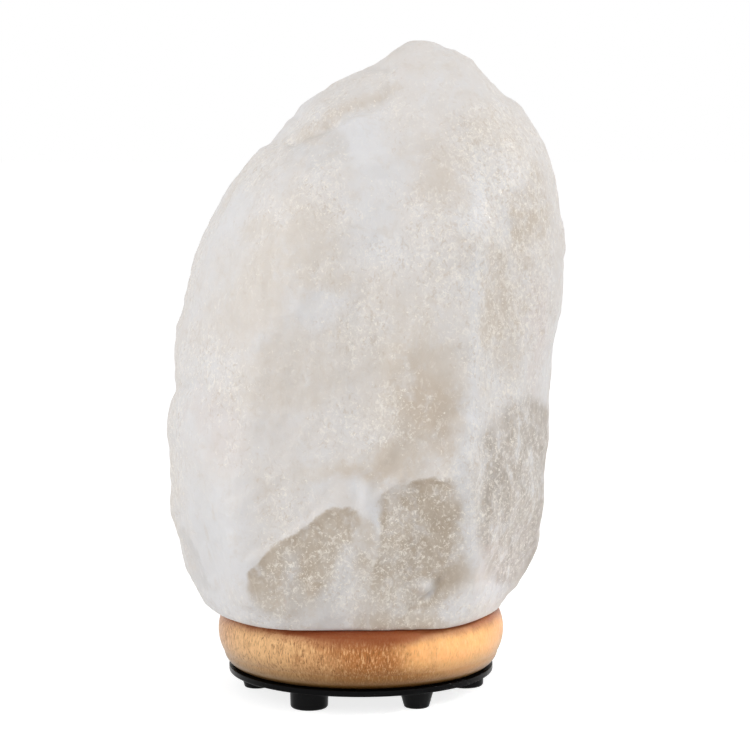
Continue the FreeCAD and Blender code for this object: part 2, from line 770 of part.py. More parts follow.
nodes = {
    "salt_crystal": salt_crystal,
    "wood_base": wood_base,
    "base_plate": base_plate,
    "straight_feet": straight_feet,
    "tapered_feet": tapered_feet,
    "foot_washers": foot_washers,
    "plate_screws": plate_screws,
    "salt_screws": salt_screws,
    "salt_plugs": salt_plugs,
    "holder_shell": holder_shell,
    "holder_cap": holder_cap,
    "holder_nut": holder_nut,
    "thread_sleeve": thread_sleeve,
    "centre_contact": centre_contact,
    "contact_rivets": contact_rivets,
    "terminals": terminals,
    "terminal_screws": terminal_screws,
    "clip_bracket": clip_bracket,
    "clip_wire_left": lambda: clip_wire(-1),
    "clip_wire_right": lambda: clip_wire(1),
    "bulb_contact": bulb_contact,
    "bulb_insulator": bulb_insulator,
    "bulb_cap": bulb_cap,
    "bulb_glass": bulb_glass,
    "bulb_stem": bulb_stem,
    "bulb_leads": bulb_leads,
    "bulb_filament": bulb_filament,
}

os.makedirs("parts", exist_ok=True)
for name, make in nodes.items():
    shape = make()
    if isinstance(shape, list):
        shape = Part.makeCompound(shape)
    shape.exportStep("parts/" + name + ".step")
    print(name, "solids", len(shape.Solids), "volume", round(shape.Volume, 1), "valid", shape.isValid())
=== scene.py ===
import math

import bmesh
import bpy
import numpy as np
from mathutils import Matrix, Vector, noise


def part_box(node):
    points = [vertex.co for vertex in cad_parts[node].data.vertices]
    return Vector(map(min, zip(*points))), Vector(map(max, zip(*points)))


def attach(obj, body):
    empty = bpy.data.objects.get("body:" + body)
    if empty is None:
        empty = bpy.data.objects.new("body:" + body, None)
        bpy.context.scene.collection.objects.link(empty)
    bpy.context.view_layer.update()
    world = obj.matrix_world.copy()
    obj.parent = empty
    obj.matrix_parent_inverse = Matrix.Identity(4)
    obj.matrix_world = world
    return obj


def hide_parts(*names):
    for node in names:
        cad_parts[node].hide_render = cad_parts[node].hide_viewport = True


# The looks of a rock salt lamp on a turned wooden base: the salt gets a hewn, washed surface and a cloudy,
# translucent material, and every other piece a finish of its own. Metres, in the frame of the CAD model, or
# millimetres where a comment says so.

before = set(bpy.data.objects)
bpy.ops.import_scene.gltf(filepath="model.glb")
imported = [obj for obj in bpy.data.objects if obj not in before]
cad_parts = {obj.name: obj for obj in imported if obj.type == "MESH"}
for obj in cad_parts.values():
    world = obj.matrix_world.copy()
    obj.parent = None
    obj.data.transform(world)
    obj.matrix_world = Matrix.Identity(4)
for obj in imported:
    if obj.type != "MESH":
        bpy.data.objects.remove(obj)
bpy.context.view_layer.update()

# ---- Sizes --------------------------------------------------------------------------------------

SALT_LOW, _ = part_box("salt_crystal")
WOOD_LOW, WOOD_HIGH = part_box("wood_base")
BORE_RADIUS = 0.022
BORE_DEPTH = 0.098
BORE_TOP = SALT_LOW.z + BORE_DEPTH
SALT_VOXEL = 0.00112  # how fine the salt's faces are
WELD = 1e-6  # vertices closer than this are one

# ---- Camera, light and stage --------------------------------------------------------------------

CAMERA_PLACE = (0.0054, -1.100, 0.256)
CAMERA_PITCH = 7.03
CAMERA_LENS = 140.2
CAMERA_SENSOR = 36.0
CAMERA_CLIP = (0.05, 20.0)
FRONT_PLANE = -0.055  # Y of the plane that the salt's marks are laid out on, as seen from the front

WORLD_LEVEL = 0.45  # the strength that lights the object; the camera sees the world at 1
FLOOR_SIZE = 8.0
FLOOR_PAPER = 0.80  # the floor's grey for the light that it throws on the object
FLOOR_GLOW = 0.80  # the part of the floor's white that has no shadow, as the camera sees it
FLOOR_SHADE = 0.46  # the part that keeps the object's shadow
WHITE = (1.0, 1.0, 1.0, 1.0)

# Name, place, aimed at, size, watts, spread in degrees
LIGHTS = [
    ("left_box", (-1.20, -0.65, 0.60), (0.0, 0.0, 0.13), (0.8, 1.2), 7.3, 180.0),
    ("right_box", (1.15, -0.50, 0.55), (0.0, 0.0, 0.08), (0.5, 1.0), 2.0, 180.0),
    ("shine_box", (0.81, 0.02, 0.65), (0.03, -0.045, 0.028), (0.18, 0.18), 2.1, 180.0),
    ("base_beam", (0.81, -0.30, 0.50), (0.042, -0.040, 0.004), (0.05, 0.05), 0.0095, 6.0),
    ("top_box", (0.0, -0.2, 1.35), (0.0, 0.0, 0.1), (1.0, 1.0), 1.8, 180.0),
    ("front_box", (-0.35, -1.9, 0.75), (0.0, 0.0, 0.12), (1.2, 1.0), 5.3, 180.0),
]


def make_camera():
    data = bpy.data.cameras.new("camera")
    data.sensor_width = CAMERA_SENSOR
    data.lens = CAMERA_LENS
    data.clip_start, data.clip_end = CAMERA_CLIP
    camera = bpy.data.objects.new("camera", data)
    camera.location = CAMERA_PLACE
    camera.rotation_euler = (math.radians(90.0 - CAMERA_PITCH), 0.0, 0.0)
    bpy.context.scene.collection.objects.link(camera)
    bpy.context.scene.camera = camera


def make_light(name, place, target, size, watts, spread):
    data = bpy.data.lights.new(name, "AREA")
    data.shape = "RECTANGLE"
    data.size, data.size_y = size
    data.energy = watts
    data.spread = math.radians(spread)
    light = bpy.data.objects.new(name, data)
    light.location = place
    direction = Vector(target) - Vector(place)
    light.rotation_euler = direction.to_track_quat("-Z", "Y").to_euler()
    bpy.context.scene.collection.objects.link(light)


# ---- Node helpers -------------------------------------------------------------------------------

class Graph:
    """Adds nodes to a material and links them; numbers and colours go straight on the sockets."""

    def __init__(self, tree):
        self.tree = tree
        self.tree.nodes.clear()

    def add(self, kind, inputs=None, **settings):
        made = self.tree.nodes.new(kind)
        for key, value in settings.items():
            setattr(made, key, value)
        for key, value in (inputs or {}).items():
            self.feed(made.inputs[key], value)
        return made

    def feed(self, socket, value):
        if isinstance(value, bpy.types.Node):
            value = value.outputs[0]
        if isinstance(value, bpy.types.NodeSocket):
            self.tree.links.new(value, socket)
        else:
            socket.default_value = value

    def math(self, operation, first, second=0.0, third=0.0):
        return self.add("ShaderNodeMath", {0: first, 1: second, 2: third}, operation=operation)

    def vector(self, operation, first, second=(0.0, 0.0, 0.0)):
        return self.add("ShaderNodeVectorMath", {0: first, 1: second}, operation=operation)

    def step(self, value, low, high, out_low=0.0, out_high=1.0):
        """Goes smoothly from out_low to out_high as the value goes from low to high."""
        return self.add("ShaderNodeMapRange",
                        {"Value": value, "From Min": low, "From Max": high, "To Min": out_low,
                         "To Max": out_high}, interpolation_type="SMOOTHSTEP")

    def mix(self, factor, first, second, blend="MIX"):
        made = self.add("ShaderNodeMix", data_type="RGBA", blend_type=blend)
        colour_inputs = [socket for socket in made.inputs if socket.type == "RGBA"]
        self.feed(made.inputs[0], factor)
        self.feed(colour_inputs[0], first)
        self.feed(colour_inputs[1], second)
        return next(socket for socket in made.outputs if socket.type == "RGBA")

    def noise(self, vector, scale, detail=3.0, roughness=0.55, distortion=0.0):
        return self.add("ShaderNodeTexNoise",
                        {"Vector": vector, "Scale": scale, "Detail": detail, "Roughness": roughness,
                         "Distortion": distortion}, noise_dimensions="3D").outputs[0]

    def stretched(self, vector, scale):
        return self.vector("MULTIPLY", vector, scale)

    def bump(self, height, strength, distance, normal=None):
        made = self.add("ShaderNodeBump", {"Height": height, "Strength": strength, "Distance": distance})
        if normal is not None:
            self.feed(made.inputs["Normal"], normal)
        return made.outputs[0]

    def surface(self, shader):
        out = self.add("ShaderNodeOutputMaterial")
        self.feed(out.inputs["Surface"], shader)


def srgb(red, green, blue):
    """A colour as it looks on screen, 0 to 255, as linear values."""
    def linear(value):
        value /= 255.0
        return value / 12.92 if value <= 0.04045 else ((value + 0.055) / 1.055) ** 2.4
    return (linear(red), linear(green), linear(blue), 1.0)


def grey(level):
    """A grey of that linear level."""
    return (level, level, level, 1.0)


def darker(shade, share):
    return tuple(share * part for part in shade[:3]) + (1.0,)


def material(name):
    made = bpy.data.materials.new(name)
    made.use_nodes = True
    return made, Graph(made.node_tree)


def object_place(graph):
    return graph.add("ShaderNodeTexCoord").outputs["Object"]


def seen_rays(graph):
    """1 for rays that show the backdrop as it is, 0 for those that light the object."""
    path = graph.add("ShaderNodeLightPath")
    seen = graph.math("MAXIMUM", path.outputs["Is Camera Ray"], path.outputs["Is Glossy Ray"])
    return graph.math("MAXIMUM", seen, path.outputs["Is Transmission Ray"])


# ---- Stage --------------------------------------------------------------------------------------

def make_world():
    world = bpy.data.worlds.new("studio")
    bpy.context.scene.world = world
    world.use_nodes = True
    graph = Graph(world.node_tree)
    strength = graph.step(seen_rays(graph), 0.0, 1.0, WORLD_LEVEL, 1.0)
    back = graph.add("ShaderNodeBackground", {"Color": WHITE, "Strength": strength})
    out = graph.add("ShaderNodeOutputWorld")
    graph.feed(out.inputs["Surface"], back)


def make_floor():
    mesh = bpy.data.meshes.new("floor")
    half = FLOOR_SIZE / 2
    corners = [(-half, -half, 0), (half, -half, 0), (half, half, 0), (-half, half, 0)]
    mesh.from_pydata(corners, [], [(0, 1, 2, 3)])
    floor = bpy.data.objects.new("floor", mesh)
    bpy.context.scene.collection.objects.link(floor)
    made, graph = material("floor")
    paper = graph.add("ShaderNodeBsdfDiffuse", {"Color": grey(FLOOR_PAPER)})
    shaded = graph.add("ShaderNodeBsdfDiffuse", {"Color": grey(FLOOR_SHADE)})
    glow = graph.add("ShaderNodeEmission", {"Color": WHITE, "Strength": FLOOR_GLOW})
    white = graph.add("ShaderNodeAddShader", {0: shaded, 1: glow})
    graph.surface(graph.add("ShaderNodeMixShader", {0: seen_rays(graph), 1: paper, 2: white}))
    mesh.materials.append(made)


# ---- Salt: the mesh -----------------------------------------------------------------------------

def remeshed(node, name, voxel):
    """A new object with the node's shape in even small faces."""
    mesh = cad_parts[node].data.copy()
    work = bmesh.new()
    work.from_mesh(mesh)
    bmesh.ops.remove_doubles(work, verts=work.verts, dist=WELD)
    work.to_mesh(mesh)
    work.free()
    piece = bpy.data.objects.new(name, mesh)
    bpy.context.scene.collection.objects.link(piece)
    remesh = piece.modifiers.new("remesh", "REMESH")
    remesh.mode = "VOXEL"
    remesh.voxel_size = voxel
    depsgraph = bpy.context.evaluated_depsgraph_get()
    even = bpy.data.meshes.new_from_object(piece.evaluated_get(depsgraph))
    piece.modifiers.clear()
    piece.data = even
    return piece


def vertex_rows(mesh, name):
    """The "co" or "normal" of every vertex, as rows of three."""
    values = np.empty(len(mesh.vertices) * 3, np.float32)
    mesh.vertices.foreach_get(name, values)
    return values.reshape(-1, 3).astype(float)


def set_places(mesh, places):
    mesh.vertices.foreach_set("co", places.astype(np.float32).ravel())
    mesh.update()


def smooth(value, low, high):
    """Goes smoothly from 0 to 1 as the value goes from low to high."""
    share = np.clip((value - low) / (high - low), 0.0, 1.0)
    return share * share * (3.0 - 2.0 * share)


def field(places, size, offset):
    """Smooth noise at each place, about -1 to 1, with lumps of that size in metres along X, Y and Z."""
    points = places / np.asarray(size, float) + offset
    return np.array([noise.noise(Vector(point)) for point in points])


# How far from the bore's wall, from its end and from the sawn foot the hewn surface starts and is full
WALL_FADE = (0.002, 0.006)
END_FADE = (0.003, 0.010)
FOOT_FADE = (0.0002, 0.0030)


def outer_share(places):
    """1 on the hewn outside, 0 on the bore and the sawn foot."""
    radius = np.hypot(places[:, 0], places[:, 1])
    beside = smooth(radius - BORE_RADIUS, *WALL_FADE)
    above = smooth(places[:, 2] - BORE_TOP, *END_FADE)
    return np.maximum(beside, above) * smooth(places[:, 2] - SALT_LOW.z, *FOOT_FADE)


# Relief of the washed surface: size of the lumps along X, Y and Z, where the noise starts, and height
SALT_RELIEF = [
    ((0.034, 0.034, 0.080), 3.1, 0.0020),
    ((0.017, 0.017, 0.026), 11.7, 0.0013),
    ((0.0075, 0.0075, 0.010), 5.3, 0.00070),
    ((0.0034, 0.0034, 0.0040), 8.8, 0.00036),
]
BROAD_LUMP = 0.01  # lumps wider than this are held low where the outline is seen from the front
SIDE_RELIEF = 0.45  # the share of the broad lumps that is left there
SIDE_SLOPE = (0.1, 0.7)  # the Y of a normal where they start to rise, and where they are full
SALT_GROWTH = 0.0003  # makes up for what the relaxing takes off
RELAX_ROUNDS = 70
RELAX_STEP = 0.5
RIDGE_START = (0.030, 0.005)  # Y where the ridges start, and where they are full
RIDGE_WANDER = 3.5  # how far the ridges stray from their lines, in mm
RIDGE_WANDER_SIZE = 0.014
RIDGE_WANDER_STARTS = (21.0, 37.0)
RIDGE_FALL = 1.4  # how fast a ridge falls off beside its line
# Ridges and grooves on the front in mm: from, to, half width, height
SALT_RIDGES = [
    ((42.8, 172.0), (41.5, 140.0), 5.0, 0.8),
    ((41.5, 140.0), (40.0, 108.0), 5.0, 0.7),
    ((40.0, 106.0), (37.0, 94.0), 5.0, 0.8),
    ((37.0, 94.0), (40.5, 62.0), 5.0, 0.8),
    ((34.0, 165.0), (33.5, 112.0), 6.0, -0.8),
    ((51.0, 165.0), (48.0, 118.0), 6.0, -0.7),
    ((-22.0, 210.5), (-11.6, 219.4), 3.2, -1.8),
    ((-11.6, 219.4), (12.0, 230.0), 3.2, -1.8),
    ((-14.0, 210.5), (4.0, 220.5), 3.4, 1.2),
    ((0.8, 219.0), (4.0, 205.0), 5.0, 0.9),
    ((4.0, 241.0), (8.0, 236.0), 6.0, -1.4),
    ((-78.0, 119.0), (-58.0, 123.0), 3.0, -1.3),
    ((-69.0, 113.5), (-69.0, 108.0), 3.5, 0.9),
    ((35.0, 243.0), (39.0, 239.7), 4.0, 1.3),
    ((49.0, 230.5), (52.0, 228.5), 5.0, -1.2),
    ((-25.0, 220.0), (-31.5, 211.5), 4.5, -2.4),
    ((-60.0, 171.0), (-61.0, 165.5), 5.0, 0.9),
    ((-66.0, 144.0), (-66.6, 136.6), 6.0, 1.3),
    ((-68.4, 99.0), (-68.5, 87.0), 6.0, -1.7),
    ((-66.5, 72.0), (-60.0, 49.0), 5.0, -1.1),
    ((73.2, 180.0), (73.2, 174.0), 5.0, 0.9),
    ((69.8, 143.0), (69.2, 134.0), 6.0, -0.7),
    ((66.9, 96.0), (66.2, 88.0), 6.0, -0.6),
    ((64.2, 66.4), (55.5, 49.5), 5.0, 0.9),
    ((-38.6, 58.5), (-12.0, 77.0), 1.8, 0.8),
    ((6.8, 82.5), (15.5, 88.0), 1.8, 0.7),
    ((15.5, 88.0), (34.0, 90.0), 1.8, 0.7),
    ((3.5, 84.0), (5.3, 70.0), 3.0, 1.1),
    ((24.2, 49.6), (24.4, 48.6), 3.2, 1.9),
    ((28.6, 51.0), (26.0, 44.8), 1.8, -1.5),
    ((26.0, 44.8), (18.0, 41.4), 1.7, -1.2),
    ((11.8, 109.5), (11.0, 97.5), 2.6, 0.9),
    ((-31.0, 196.0), (-40.0, 150.0), 6.0, 0.9),
    ((-63.8, 74.0), (-54.7, 50.0), 2.4, 0.9),
    ((46.0, 52.0), (43.0, 66.0), 3.0, -0.8),
    ((43.0, 66.0), (44.0, 104.0), 3.0, -0.8),
]


def on_front_plane(places):
    """Where each place is seen from the camera on the plane y = FRONT_PLANE, across and up in mm."""
    reach = 1000 * (FRONT_PLANE - CAMERA_PLACE[1]) / (places[:, 1] - CAMERA_PLACE[1])
    across = 1000 * CAMERA_PLACE[0] + (places[:, 0] - CAMERA_PLACE[0]) * reach
    high = 1000 * CAMERA_PLACE[2] + (places[:, 2] - CAMERA_PLACE[2]) * reach
    return np.column_stack([across, high])


def ridge_height(seen, start, end, half_width, height):
    """How high one ridge is, in metres, at places that are seen at these points in mm."""
    run = np.subtract(end, start)
    along = np.clip((seen - start) @ run / (run @ run), 0.0, 1.0)
    aside = np.linalg.norm(seen - start - along[:, None] * run, axis=1)
    return height / 1000 * np.exp(-(aside / half_width) ** 2 * RIDGE_FALL)


def relax(mesh):
    """Rounds the hewn edges: each outer place moves towards the middle of its neighbours."""
    places = vertex_rows(mesh, "co")
    share = outer_share(places)[:, None] * RELAX_STEP
    ends = np.empty(len(mesh.edges) * 2, np.int32)
    mesh.edges.foreach_get("vertices", ends)
    first, second = ends.reshape(-1, 2).T
    number = len(places)
    neighbours = np.bincount(first, minlength=number) + np.bincount(second, minlength=number)
    for _ in range(RELAX_ROUNDS):
        total = [np.bincount(first, places[second, axis], number)
                 + np.bincount(second, places[first, axis], number) for axis in range(3)]
        places += share * (np.column_stack(total) / neighbours[:, None] - places)
    set_places(mesh, places)


def wash(mesh):
    """Rounds the salt and gives it the relief and the ridges of a washed stone."""
    relax(mesh)
    places = vertex_rows(mesh, "co")
    normals = vertex_rows(mesh, "normal")
    share = outer_share(places)
    facing = SIDE_RELIEF + (1.0 - SIDE_RELIEF) * smooth(np.abs(normals[:, 1]), *SIDE_SLOPE)
    height = SALT_GROWTH
    for size, offset, reach in SALT_RELIEF:
        held = facing if size[0] > BROAD_LUMP else 1.0
        height = height + field(places, size, offset) * reach * held
    stray = [field(places, RIDGE_WANDER_SIZE, start) for start in RIDGE_WANDER_STARTS]
    seen = on_front_plane(places) + RIDGE_WANDER * np.column_stack(stray)
    front = smooth(places[:, 1], *RIDGE_START)
    for ridge in SALT_RIDGES:
        height = height + front * ridge_height(seen, *ridge)
    places += normals * (height * share)[:, None]
    mesh.polygons.foreach_set("use_smooth", np.ones(len(mesh.polygons), bool))
    set_places(mesh, places)


# ---- Salt: the material -------------------------------------------------------------------------

SALT_BASE = srgb(224, 219, 215)
SALT_PALE = srgb(226, 225, 226)
SALT_WARM = srgb(219, 211, 202)
SALT_TAN = srgb(207, 195, 181)
SALT_DEEP_TAN = srgb(199, 183, 165)
SALT_PINK = srgb(220, 209, 205)
SALT_GLASSY = srgb(194, 181, 165)
SALT_DARK_GLASSY = srgb(178, 162, 143)
SALT_BEIGE = srgb(206, 197, 186)
SALT_LILAC = srgb(196, 187, 178)
SALT_DARK_LILAC = srgb(170, 159, 148)
SALT_GREY = srgb(209, 206, 204)
# Bright flecks and pale grain: partly the salt's own white crystals, partly painted glints.
SALT_SPECK_AND_GLINT = srgb(250, 244, 234)

# Soft clouds on the front, in mm: centre across and up, half width, half height, shade, strength
SALT_CLOUDS = [
    (18.2, 242.7, 9.0, 7.0, SALT_PINK, 0.5),
    (24.0, 235.2, 8.0, 5.0, SALT_WARM, 0.7),
    (-11.6, 207.2, 12.0, 8.0, SALT_GREY, 0.6),
    (-18.9, 221.8, 9.0, 6.0, SALT_PALE, 0.6),
    (-50.3, 190.2, 17.0, 34.0, SALT_PALE, 0.8),
    (-65.2, 120.0, 9.0, 45.0, SALT_PALE, 0.6),
    (-52.6, 66.0, 17.0, 30.0, SALT_PALE, 0.9),
    (0.8, 214.0, 6.5, 14.0, SALT_PALE, 0.9),
    (8.1, 203.3, 11.0, 21.0, SALT_PALE, 0.7),
    (30.0, 200.0, 15.0, 13.0, SALT_TAN, 0.45),
    (47.2, 215.2, 12.0, 13.0, SALT_WARM, 0.8),
    (61.6, 184.0, 7.5, 19.0, SALT_TAN, 0.9),
    (43.9, 189.2, 5.5, 16.0, SALT_PALE, 0.8),
    (-22.0, 172.0, 20.0, 18.0, SALT_WARM, 0.7),
    (-37.2, 155.5, 20.0, 21.0, SALT_WARM, 0.7),
    (-25.6, 125.6, 22.0, 18.0, SALT_WARM, 0.75),
    (-13.0, 153.5, 15.0, 9.0, SALT_PALE, 0.7),
    (0.0, 180.0, 13.0, 16.0, SALT_PALE, 0.5),
    (-4.0, 108.0, 20.0, 9.0, SALT_BASE, 0.7),
    (-30.0, 98.0, 16.0, 12.0, SALT_BASE, 0.6),
    (20.2, 130.0, 21.0, 29.0, SALT_WARM, 0.95),
    (24.0, 119.0, 17.0, 23.0, SALT_TAN, 0.75),
    (25.5, 113.0, 12.0, 14.0, SALT_DEEP_TAN, 0.65),
    (18.5, 121.0, 4.0, 3.5, SALT_BASE, 0.6),
    (50.3, 153.0, 8.0, 26.0, SALT_TAN, 0.8),
    (64.5, 141.4, 6.5, 24.0, SALT_PINK, 0.6),
    (1.4, 95.0, 24.0, 7.0, SALT_WARM, 0.9),
    (14.2, 100.5, 9.0, 6.5, SALT_TAN, 0.7),
    (8.0, 93.0, 13.0, 6.0, SALT_DEEP_TAN, 0.6),
    (-52.1, 109.8, 11.0, 16.0, SALT_PINK, 0.35),
]
# Patches as corners in mm, in order round each, and how soft the side from that corner is
GLASSY_LEFT = [(-40.6, 50.5, 1.0), (-40.1, 55.7, 0.7), (-27.3, 67.0, 0.6), (-15.2, 75.7, 0.6),
               (-8.7, 78.2, 0.7), (-3.6, 79.3, 0.9), (-0.4, 77.8, 1.2), (0.7, 74.0, 2.6),
               (-4.6, 60.9, 3.0), (-11.6, 46.7, 4.0), (-20.9, 40.6, 4.5), (-33.9, 40.6, 3.0),
               (-39.0, 45.8, 1.5)]
GLASSY_RIGHT = [(4.7, 48.6, 1.2), (5.9, 70.3, 0.8), (6.3, 78.7, 0.6), (8.8, 83.4, 0.6),
                (13.5, 86.9, 0.6), (19.9, 88.8, 0.8), (27.3, 89.8, 1.2), (32.5, 88.8, 2.5),
                (36.0, 85.5, 5.0), (38.2, 79.0, 6.0), (38.6, 58.0, 6.0), (35.5, 46.8, 6.0),
                (29.3, 42.8, 5.0), (20.0, 42.2, 5.0), (8.9, 44.6, 4.0)]
LILAC_RIGHT = [(42.8, 104.0, 5.0), (52.0, 115.5, 3.0), (61.5, 118.0, 2.5), (76.0, 112.3, 4.0),
               (82.0, 73.1, 4.0), (62.0, 54.5, 3.0), (52.0, 47.0, 3.0), (47.0, 52.0, 3.5), (42.4, 64.6, 5.0)]
SHADY_LEFT = [(-74.0, 73.1, 0.8), (-64.8, 71.4, 0.6), (-60.6, 65.6, 0.6), (-58.4, 58.0, 0.6),
              (-55.9, 49.4, 1.0), (-59.9, 44.8, 1.0), (-74.0, 59.9, 1.0)]
# Soft clouds that lie over the patches
SALT_VEILS = [
    (2.5, 60.0, 7.0, 12.0, SALT_GLASSY, 0.85),
    (14.0, 44.5, 22.0, 9.0, SALT_BEIGE, 0.75),
    (-29.0, 42.5, 14.0, 6.0, SALT_BEIGE, 0.7),
    (14.3, 58.0, 9.0, 5.5, SALT_BEIGE, 0.5),
    (33.0, 50.5, 5.0, 7.0, SALT_DARK_GLASSY, 0.5),
    (20.0, 81.5, 15.0, 7.0, SALT_DARK_GLASSY, 0.4),
    (34.5, 84.5, 7.0, 5.0, SALT_BEIGE, 0.5),
    (36.0, 66.0, 5.0, 14.0, SALT_BEIGE, 0.6),
    (-36.0, 48.0, 7.0, 9.0, SALT_BEIGE, 0.45),
]
# Strokes in mm: the points that they pass, half width, shade, strength
SALT_STROKES = [
    # Tan along the groove at the top left: partly painted shade.
    ([(-20.0, 212.3), (-11.6, 219.6), (-4.7, 222.9), (5.1, 226.5), (11.7, 230.1)], 3.4, SALT_TAN, 0.6),
    # Pale along the ridges on the right: painted highlights.
    ([(42.2, 170.0), (41.2, 140.0), (40.8, 112.0)], 3.0, SALT_PALE, 0.7),
    ([(41.6, 110.0), (36.5, 94.6), (39.0, 80.0), (41.0, 58.5)], 3.8, SALT_PALE, 0.75),
    ([(-25.3, 59.4), (-22.3, 41.1)], 4.0, SALT_GREY, 0.5),
    ([(-3.6, 61.0), (-7.5, 50.5), (-14.0, 40.0)], 4.4, SALT_GREY, 0.6),
    # Pale along a ridge between the two glassy patches: painted highlight.
    ([(-1.3, 87.3), (4.2, 76.0)], 4.2, SALT_PALE, 0.75),
    ([(4.2, 77.0), (5.0, 70.5)], 2.2, SALT_PALE, 0.8),
    # Pale on a raised knob: painted highlight; dark along the groove beside it: painted shade.
    ([(24.2, 49.6), (24.4, 48.6)], 3.4, SALT_PALE, 0.7),
    ([(29.0, 51.5), (26.0, 44.8), (18.0, 41.4)], 1.4, SALT_DARK_GLASSY, 0.7),
    ([(-60.0, 46.0), (-40.0, 38.0), (-30.0, 35.0)], 4.8, SALT_PALE, 0.8),
    # Grey and glassy along the salt's foot: painted shade.
    ([(-28.0, 34.5), (-8.0, 36.0)], 4.2, SALT_GREY, 0.7),
    ([(2.0, 34.5), (34.0, 36.5)], 4.6, SALT_GLASSY, 0.85),
    ([(33.0, 38.5), (44.0, 46.0), (50.0, 48.0)], 5.5, SALT_PALE, 0.8),
]
# Where the bright flecks, partly painted glints, crowd, or thin out for a share below 0, in mm: centre across
# and up, half width, half height, share
SALT_FROST_AND_GLINTS = [
    (57.0, 178.0, 17.0, 36.0, 0.75),
    (44.0, 212.0, 16.0, 15.0, 0.6),
    (48.0, 132.0, 14.0, 20.0, 0.5),
    (59.0, 82.0, 18.0, 38.0, 0.7),
    (-50.0, 72.0, 18.0, 34.0, -0.6),
    (-52.0, 192.0, 14.0, 30.0, -0.4),
    (2.0, 212.0, 12.0, 18.0, -0.4),
    (22.0, 66.0, 19.0, 24.0, 0.55),
    (-18.0, 60.0, 18.0, 18.0, 0.45),
    (15.0, 112.0, 24.0, 13.0, 0.45),
]
# Y where marks of the front, of the front and sides, and of the back start, and where they are full
FRONT_FADE = (-0.008, -0.024)
SIDE_FADE = (0.042, 0.022)
BACK_FADE = (0.010, 0.024)
SIDE_RAGGED = 0.06  # how far noise moves the side's fade, in metres
# How the marks stray from their outlines: noise scale, and reach in mm
SOFT_STRAY = (46.0, 36.0)
CRISP_STRAY = (60.0, 10.0)
# Noise scales in lumps per metre, from the patches on the back to the grain
BACK_SCALE = 15.0
CLOUD_SCALE = 24.0
CROWD_SCALE = 30.0
RAGGED_SCALE = 45.0
MILK_SCALE = 52.0
MIST_SCALE = 120.0
MOTTLE_SCALE = 130.0
PIT_SCALE = 240.0
CURL_SCALE = 540.0
GRAIN_SCALE = 620.0
CHOICE_SCALE = 660.0
# How strong each of these is at the most
MILK_SHARE = 0.40
MIST_PALE_SHARE = 0.38
MIST_TAN_SHARE = 0.32
GRAIN_PALE_SHARE = 0.40
GRAIN_DARK_SHARE = 0.42
FLECK_AND_GLINT_SHARE = 0.75
LILAC_SHARE = 0.9
SHADY_SHARE = 0.75
GLASSY_SHARE = 0.95
BACK_SHARE = 0.65
# The edge of a cloud and of a stroke, in half widths: where it starts, and where it is full
CLOUD_EDGE = (1.35, 0.25)
STROKE_EDGE = (1.4, 0.1)


